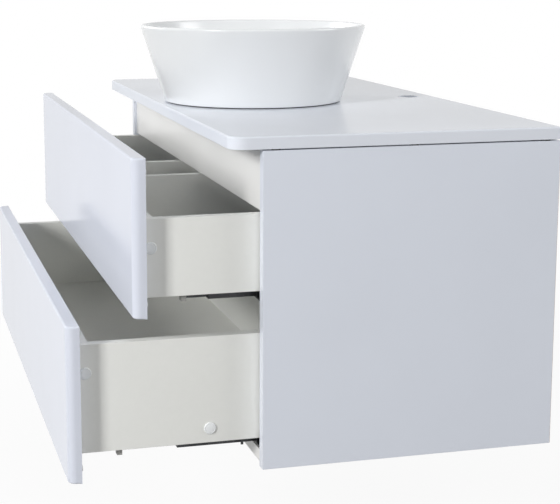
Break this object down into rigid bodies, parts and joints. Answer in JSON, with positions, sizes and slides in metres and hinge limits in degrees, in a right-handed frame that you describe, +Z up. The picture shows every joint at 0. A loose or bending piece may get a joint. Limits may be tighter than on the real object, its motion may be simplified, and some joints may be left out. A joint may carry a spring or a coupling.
{
  "type": "vessel sink on vanity",
  "caption": "Wall-hung bathroom vanity: white cabinet with two handleless drawers on full-extension runners, overhanging countertop and round conical vessel basin.",
  "frame": {"origin": "on the wall plane, in the middle of the cabinet's width, at the underside of the cabinet", "axes": "+X to the right seen from the front, +Y into the wall, +Z up; the drawers pull out along -Y"},
  "size_m": [1, 0.763, 0.6115],
  "materials": {
    "carcass": "satin white foil on chipboard",
    "countertop": "glossy white solid surface",
    "front_lacquer": "satin white lacquer on fibreboard",
    "drawer_board": "off-white melamine",
    "basin_glaze": "white gloss glaze",
    "rubber": "black, matt",
    "chrome": "polished chrome on brass",
    "white_plastic": "white moulded plastic",
    "grey_plastic": "light grey moulded plastic",
    "runner_steel": "blackened sheet steel",
    "zinc_steel": "zinc-plated steel"
  },
  "bodies": {
    "cabinet": {"side_panel_left": "carcass", "side_panel_right": "carcass", "bottom_panel": "carcass", "front_rail": "carcass", "rear_rail_top": "carcass", "rear_rail_bottom": "carcass", "countertop": "countertop", "countertop_pads": "rubber", "basin": "basin_glaze", "basin_seal": "rubber", "waste_body": "chrome", "waste_washer": "rubber", "waste_nut": "chrome", "trap_inlet_tube": "white_plastic", "trap_body": "white_plastic", "trap_cup": "white_plastic", "trap_nuts": "white_plastic", "trap_outlet_pipe": "white_plastic", "wall_rosette": "chrome", "hanging_bracket_left": "zinc_steel", "hanging_bracket_right": "zinc_steel", "bracket_screws": "zinc_steel", "cam_locks": "zinc_steel", "upper_cabinet_runners": "runner_steel", "lower_cabinet_runners": "runner_steel", "runner_screws": "zinc_steel", "runner_dampers": "grey_plastic"},
    "upper_drawer": {"upper_front": "front_lacquer", "upper_subfront": "drawer_board", "upper_side_left": "drawer_board", "upper_side_right": "drawer_board", "upper_floor": "drawer_board", "upper_back_left": "drawer_board", "upper_back_right": "drawer_board", "trap_wall_left": "drawer_board", "trap_wall_right": "drawer_board", "trap_wall_front": "drawer_board", "upper_drawer_runners": "runner_steel", "upper_locking_clips": "grey_plastic", "upper_screw_caps": "white_plastic", "upper_front_screws": "zinc_steel", "upper_front_bumpers": "white_plastic"},
    "lower_drawer": {"lower_front": "front_lacquer", "lower_subfront": "drawer_board", "lower_side_left": "drawer_board", "lower_side_right": "drawer_board", "lower_floor": "drawer_board", "lower_back": "drawer_board", "lower_drawer_runners": "runner_steel", "lower_locking_clips": "grey_plastic", "lower_screw_caps": "white_plastic", "lower_front_screws": "zinc_steel", "lower_front_bumpers": "white_plastic"},
    "upper_glide_pair": {"upper_glides": "runner_steel"},
    "lower_glide_pair": {"lower_glides": "runner_steel"},
    "upper_outer_cage_set": {"upper_outer_ball_cages": "grey_plastic"},
    "upper_inner_cage_set": {"upper_inner_ball_cages": "grey_plastic"},
    "lower_outer_cage_set": {"lower_outer_ball_cages": "grey_plastic"},
    "lower_inner_cage_set": {"lower_inner_ball_cages": "grey_plastic"},
    "plug": {"waste_plug": "chrome"}
  },
  "joints": [
    {"name": "upper_drawer_slide", "type": "slide", "parent": "cabinet", "child": "upper_drawer", "axis": [0, -1, 0], "range_m": [-0.163, 0.207]},
    {"name": "lower_drawer_slide", "type": "slide", "parent": "cabinet", "child": "lower_drawer", "axis": [0, -1, 0], "range_m": [-0.257, 0.113]},
    {"name": "upper_glide_slide", "type": "slide", "parent": "cabinet", "child": "upper_glide_pair", "axis": [0, -1, 0], "range_m": [-0.0815, 0.1035]},
    {"name": "lower_glide_slide", "type": "slide", "parent": "cabinet", "child": "lower_glide_pair", "axis": [0, -1, 0], "range_m": [-0.1285, 0.0565]},
    {"name": "upper_outer_cage_roll", "type": "slide", "parent": "cabinet", "child": "upper_outer_cage_set", "axis": [0, -1, 0], "range_m": [-0.04075, 0.05175]},
    {"name": "upper_inner_cage_roll", "type": "slide", "parent": "cabinet", "child": "upper_inner_cage_set", "axis": [0, -1, 0], "range_m": [-0.12225, 0.15525]},
    {"name": "lower_outer_cage_roll", "type": "slide", "parent": "cabinet", "child": "lower_outer_cage_set", "axis": [0, -1, 0], "range_m": [-0.06425, 0.02825]},
    {"name": "lower_inner_cage_roll", "type": "slide", "parent": "cabinet", "child": "lower_inner_cage_set", "axis": [0, -1, 0], "range_m": [-0.19275, 0.08475]},
    {"name": "plug_press", "type": "slide", "parent": "cabinet", "child": "plug", "axis": [0, 0, 1], "range_m": [-0.008, 0], "stiffness_N_per_m": 200, "springref_m": 0.012}
  ],
  "couplings": [
    {"joint": "upper_glide_slide", "follows": "upper_drawer_slide", "ratio": 0.5},
    {"joint": "upper_outer_cage_roll", "follows": "upper_drawer_slide", "ratio": 0.25},
    {"joint": "upper_inner_cage_roll", "follows": "upper_drawer_slide", "ratio": 0.75},
    {"joint": "lower_glide_slide", "follows": "lower_drawer_slide", "ratio": 0.5},
    {"joint": "lower_outer_cage_roll", "follows": "lower_drawer_slide", "ratio": 0.25},
    {"joint": "lower_inner_cage_roll", "follows": "lower_drawer_slide", "ratio": 0.75}
  ]
}
